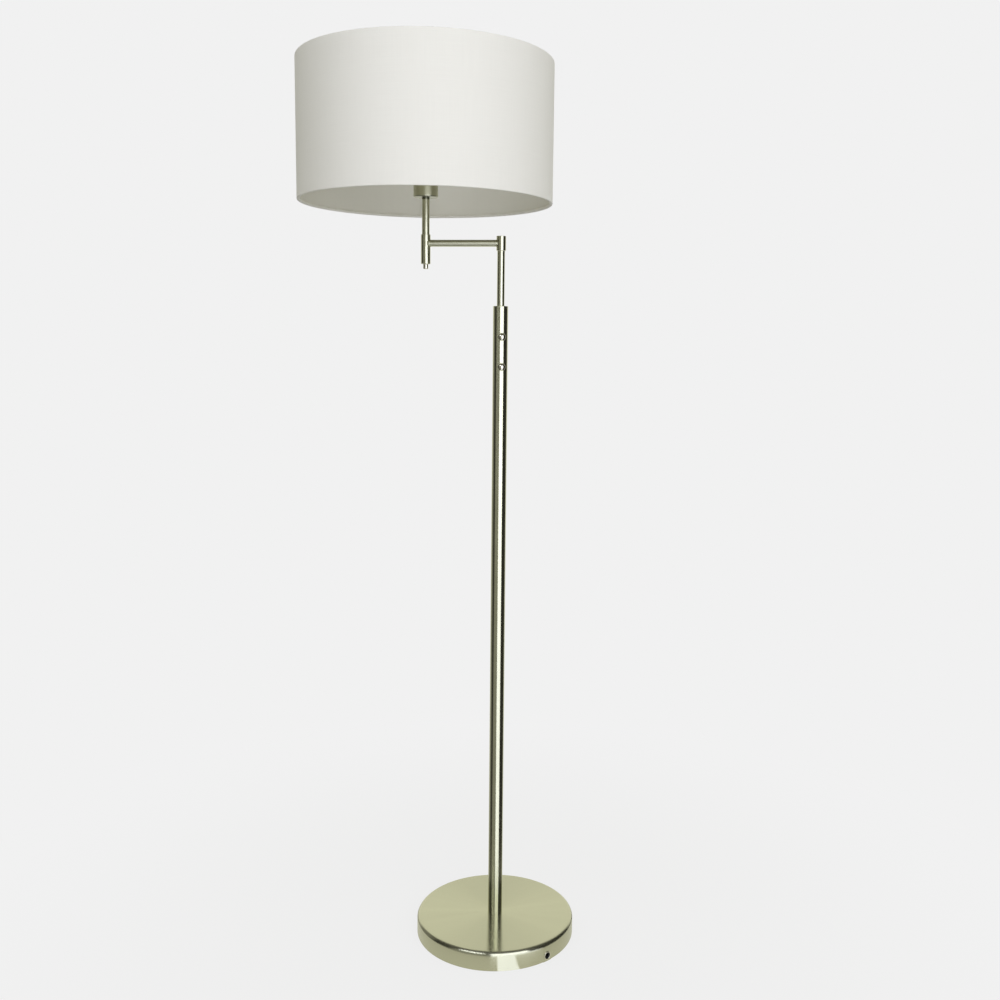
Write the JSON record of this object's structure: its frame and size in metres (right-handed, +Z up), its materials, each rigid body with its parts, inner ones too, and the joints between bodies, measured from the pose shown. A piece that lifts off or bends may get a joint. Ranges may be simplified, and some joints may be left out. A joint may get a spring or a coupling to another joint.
{
  "type": "floor lamp",
  "caption": "Adjustable arm floor lamp: weighted round base, sliding riser held by clamp screws, swinging arm and a large drum shade.",
  "frame": {"origin": "centre of the base's underside, on the floor", "axes": "+Z up along the column; the arm points along -X at rest, and the clamp screws face -Y"},
  "size_m": [0.48, 0.424, 1.508],
  "materials": {
    "satin_nickel": "warm satin-brushed nickel plate",
    "polished_nickel": "polished nickel plate",
    "bright_steel": "zinc-plated steel",
    "cast_iron": "raw cast iron, painted dark",
    "black_felt": "dark needled felt",
    "black_plastic": "black moulded plastic",
    "white_plastic": "white heat-proof plastic",
    "natural_nylon": "natural nylon",
    "brass": "turned brass",
    "porcelain": "white porcelain",
    "cap_metal": "bright lamp-cap aluminium",
    "opal_glass": "opal white glass",
    "white_wire": "white powder-coated steel wire",
    "ivory_fabric": "smooth ivory textile laminated on a stiff lining"
  },
  "bodies": {
    "stand": {"base_cover": "satin_nickel", "base_weight": "cast_iron", "base_pad": "black_felt", "outlet_eyelet": "polished_nickel", "cord_bush": "black_plastic", "foot_nipple": "bright_steel", "foot_nut": "bright_steel", "foot_lock_washer": "bright_steel", "foot_washer": "bright_steel", "column_foot_plug": "bright_steel", "column_tube": "satin_nickel", "guide_sleeve": "satin_nickel"},
    "riser": {"riser_tube": "satin_nickel", "riser_foot_bush": "natural_nylon", "riser_spigot": "satin_nickel", "swivel_washer": "natural_nylon", "swivel_spring": "bright_steel", "swivel_nut": "bright_steel"},
    "arm": {"elbow_sleeve": "satin_nickel", "elbow_cap": "satin_nickel", "arm_tube": "satin_nickel", "head_sleeve": "satin_nickel", "switch_bush": "polished_nickel", "switch_body": "black_plastic", "stem_tube": "satin_nickel", "stem_nipple": "bright_steel", "holder_cup": "satin_nickel", "holder_base": "white_plastic", "holder_skirt": "white_plastic", "contact_block": "porcelain", "contact_shell": "brass", "centre_contact": "brass", "bulb_cap": "cap_metal", "bulb_glass": "opal_glass", "carrier_ring": "white_wire", "shade_ring_nut": "white_plastic", "carrier_wires": "white_wire", "shade_upper_hoop": "white_wire", "shade_lower_hoop": "white_wire", "shade_upper_hem": "ivory_fabric", "shade_lower_hem": "ivory_fabric", "shade_drum": "ivory_fabric"},
    "upper_screw": {"clamp_screw_upper": "polished_nickel"},
    "lower_screw": {"clamp_screw_lower": "polished_nickel"},
    "knob": {"switch_spindle": "bright_steel", "switch_knob": "polished_nickel"}
  },
  "joints": [
    {"name": "riser_slide", "type": "slide", "parent": "stand", "child": "riser", "axis": [0, 0, 1], "range_m": [-0.0908, 0.25]},
    {"name": "arm_swing", "type": "hinge", "parent": "riser", "child": "arm", "pos_m": [0, 0, 1.206], "axis": [0, 0, 1], "range_deg": [-165, 165]},
    {"name": "upper_screw_turn", "type": "hinge", "parent": "stand", "child": "upper_screw", "pos_m": [0, 0, 1.0635], "axis": [0.284, -0.9588, 0], "range_deg": [0, 360]},
    {"name": "lower_screw_turn", "type": "hinge", "parent": "stand", "child": "lower_screw", "pos_m": [0, 0, 1.0135], "axis": [0.284, -0.9588, 0], "range_deg": [0, 360]},
    {"name": "switch_turn", "type": "hinge", "parent": "arm", "child": "knob", "pos_m": [-0.128, 0, 1.18], "axis": [0, 0, 1], "continuous": true}
  ]
}
